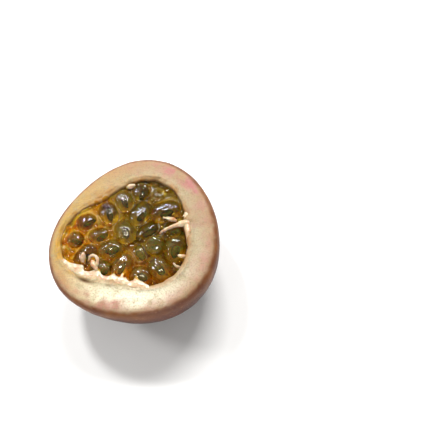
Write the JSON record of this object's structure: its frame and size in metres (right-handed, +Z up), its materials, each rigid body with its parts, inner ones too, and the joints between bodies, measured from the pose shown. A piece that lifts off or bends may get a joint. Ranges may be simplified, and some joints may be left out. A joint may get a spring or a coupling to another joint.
{
  "type": "passion fruit half",
  "caption": "Half of a purple passion fruit, cut face up: thick rind cup filled with pulp and loose juice sacs round dark seeds.",
  "frame": {"origin": "middle of the small flat spot that the fruit rests on", "axes": "+Z up, out of the cut face; +X and +Y lie in the cut face's plane"},
  "size_m": [0.0508, 0.0494, 0.0225],
  "materials": {
    "rind": "waxy, glossy, speckled skin with a matte pale pith on the cut",
    "pulp": "wet amber juice and pulp",
    "juice_sac": "wet, translucent olive amber",
    "pith": "matte, spongy pith, placenta strands and torn membrane",
    "seed": "hard, pitted, near-black seed coat"
  },
  "bodies": {
    "root": {"rind": "rind", "lower_pulp": "pulp", "juice_sac_01": "juice_sac", "juice_sac_02": "juice_sac", "juice_sac_03": "juice_sac", "juice_sac_04": "juice_sac", "juice_sac_05": "juice_sac", "juice_sac_06": "juice_sac", "juice_sac_07": "juice_sac", "juice_sac_08": "juice_sac", "juice_sac_09": "juice_sac", "juice_sac_10": "juice_sac", "juice_sac_11": "juice_sac", "juice_sac_12": "juice_sac", "juice_sac_13": "juice_sac", "juice_sac_14": "juice_sac", "juice_sac_15": "juice_sac", "juice_sac_16": "juice_sac", "juice_sac_17": "juice_sac", "juice_sac_18": "juice_sac", "juice_sac_19": "juice_sac", "juice_sac_20": "juice_sac", "juice_sac_21": "juice_sac", "juice_sac_22": "juice_sac", "juice_sac_23": "juice_sac", "juice_sac_24": "juice_sac", "juice_sac_25": "juice_sac", "juice_sac_26": "juice_sac", "juice_sac_27": "juice_sac", "juice_sac_28": "juice_sac", "juice_sac_29": "juice_sac", "juice_sac_30": "juice_sac", "juice_sac_31": "juice_sac", "juice_sac_32": "juice_sac", "juice_sac_33": "juice_sac", "juice_sac_34": "juice_sac", "juice_sac_35": "juice_sac", "juice_sac_36": "juice_sac", "juice_sac_37": "juice_sac", "juice_sac_38": "juice_sac"}
  },
  "joints": []
}
